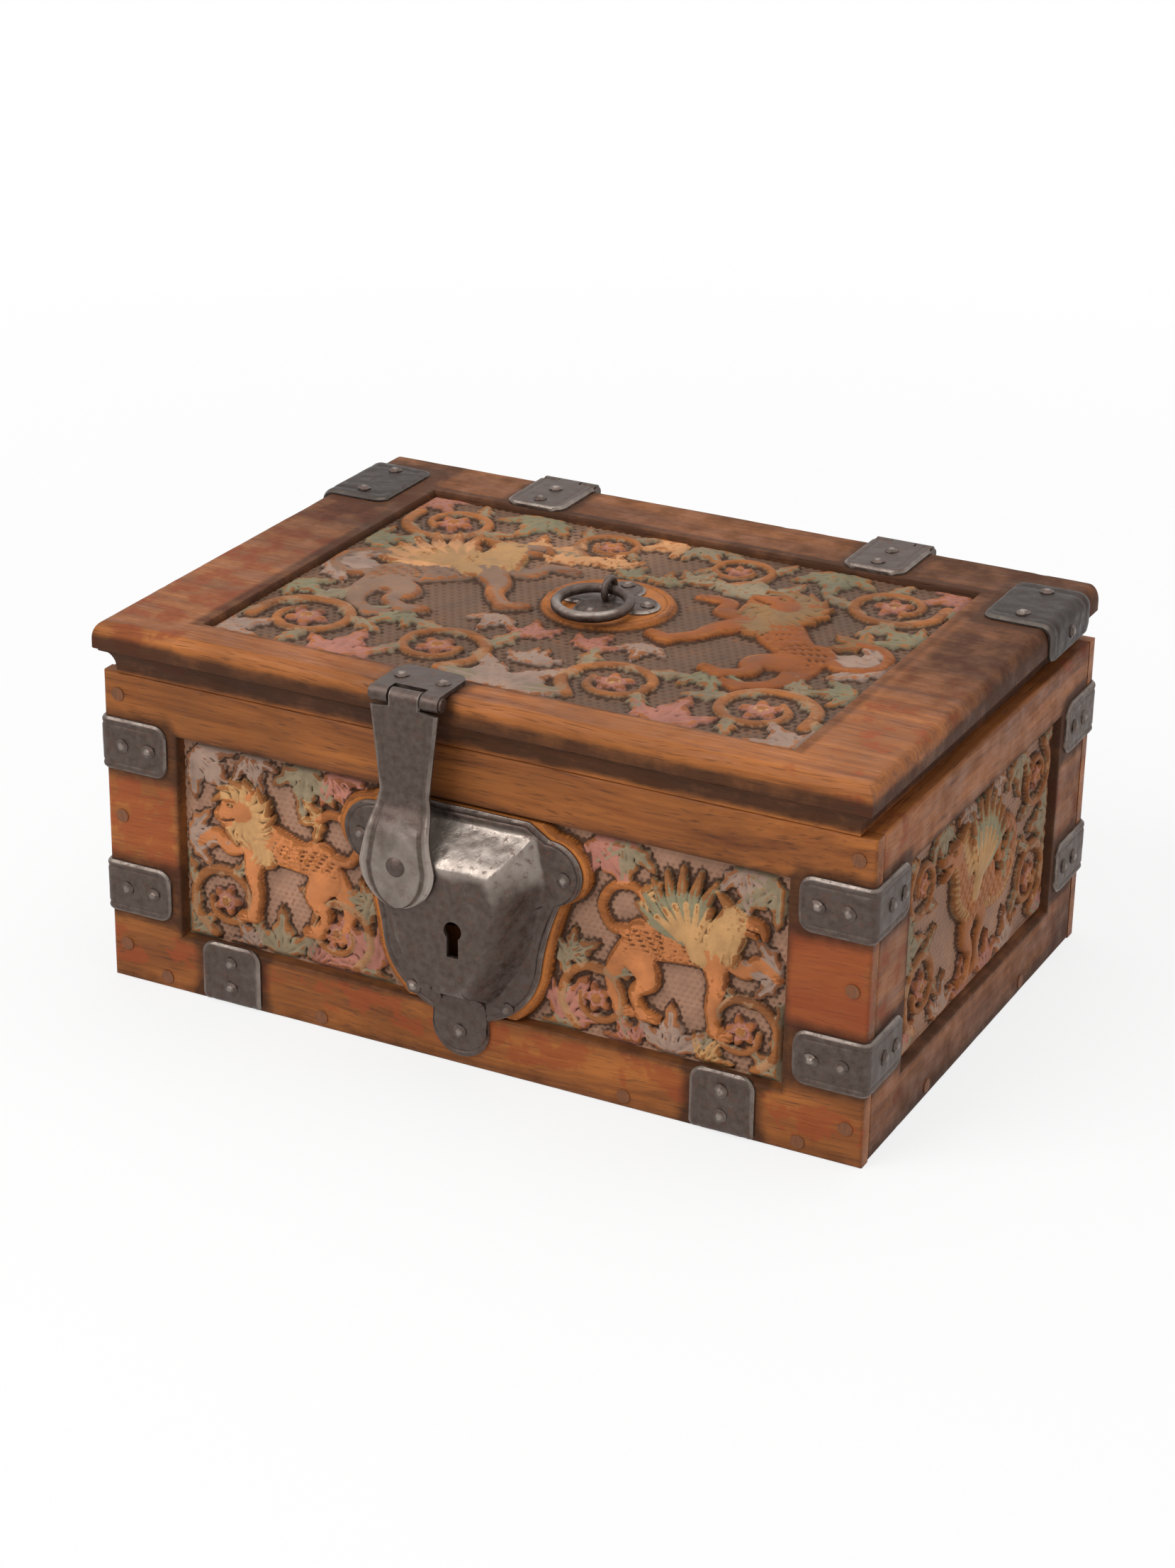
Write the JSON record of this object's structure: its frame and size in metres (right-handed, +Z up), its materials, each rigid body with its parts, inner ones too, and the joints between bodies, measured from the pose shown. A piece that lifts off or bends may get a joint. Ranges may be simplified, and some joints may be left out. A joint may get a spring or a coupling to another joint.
{
  "type": "medieval casket",
  "caption": "Small carved wooden casket with a hinged flat lid, iron corner straps, domed lock, drop hasp and ring handle.",
  "frame": {"origin": "middle of the flat underside of the base board", "axes": "+X to the right along the front, +Y from the front to the back, +Z up"},
  "size_m": [0.3022, 0.2299, 0.1496],
  "materials": {
    "oak": "waxed oak with worn paint",
    "iron": "dark wrought iron"
  },
  "bodies": {
    "case": {"back_board": "oak", "base_board": "oak", "base_pegs": "oak", "base_strap_back_left": "iron", "base_strap_back_right": "iron", "base_strap_front_left": "iron", "base_strap_front_right": "iron", "base_strap_nails": "iron", "bolt_guides": "iron", "bolt_spring": "iron", "corner_nails": "iron", "corner_pegs": "oak", "corner_strap_back_left_lower": "iron", "corner_strap_back_left_upper": "iron", "corner_strap_back_right_lower": "iron", "corner_strap_back_right_upper": "iron", "corner_strap_front_left_lower": "iron", "corner_strap_front_left_upper": "iron", "corner_strap_front_right_lower": "iron", "corner_strap_front_right_upper": "iron", "front_board": "oak", "hinge_back_leaf_left": "iron", "hinge_back_leaf_right": "iron", "hinge_back_nails": "iron", "hinge_pin_left": "iron", "hinge_pin_right": "iron", "left_end_board": "oak", "lock_back_plate": "iron", "lock_case": "iron", "lock_nails": "iron", "right_end_board": "oak"},
    "hasp": {"hasp": "iron", "hasp_staple": "iron"},
    "handle": {"handle_ring": "iron"},
    "bolt": {"lock_bolt": "iron"},
    "lid": {"handle_eye": "iron", "handle_rosette": "iron", "handle_rosette_nails": "iron", "hasp_leaf": "iron", "hasp_leaf_nails": "iron", "hasp_pin": "iron", "hinge_lid_leaf_left": "iron", "hinge_lid_leaf_right": "iron", "hinge_lid_nails": "iron", "lid_board": "oak", "lid_corner_iron_left": "iron", "lid_corner_iron_right": "iron", "lid_corner_nails": "iron"}
  },
  "joints": [
    {"name": "lid_hinge", "type": "hinge", "parent": "case", "child": "lid", "pos_m": [0, 0.1052, 0.1386], "axis": [-1, 0, 0], "range_deg": [0, 105]},
    {"name": "hasp_hinge", "type": "hinge", "parent": "lid", "child": "hasp", "pos_m": [-0.019, -0.1114, 0.1388], "axis": [-1, 0, 0], "range_deg": [0, 110]},
    {"name": "handle_swing", "type": "hinge", "parent": "lid", "child": "handle", "pos_m": [0, 0, 0.1444], "axis": [-1, 0, 0], "range_deg": [0, 170]},
    {"name": "bolt_slide", "type": "slide", "parent": "case", "child": "bolt", "axis": [-1, 0, 0], "range_m": [0, 0.01]}
  ]
}
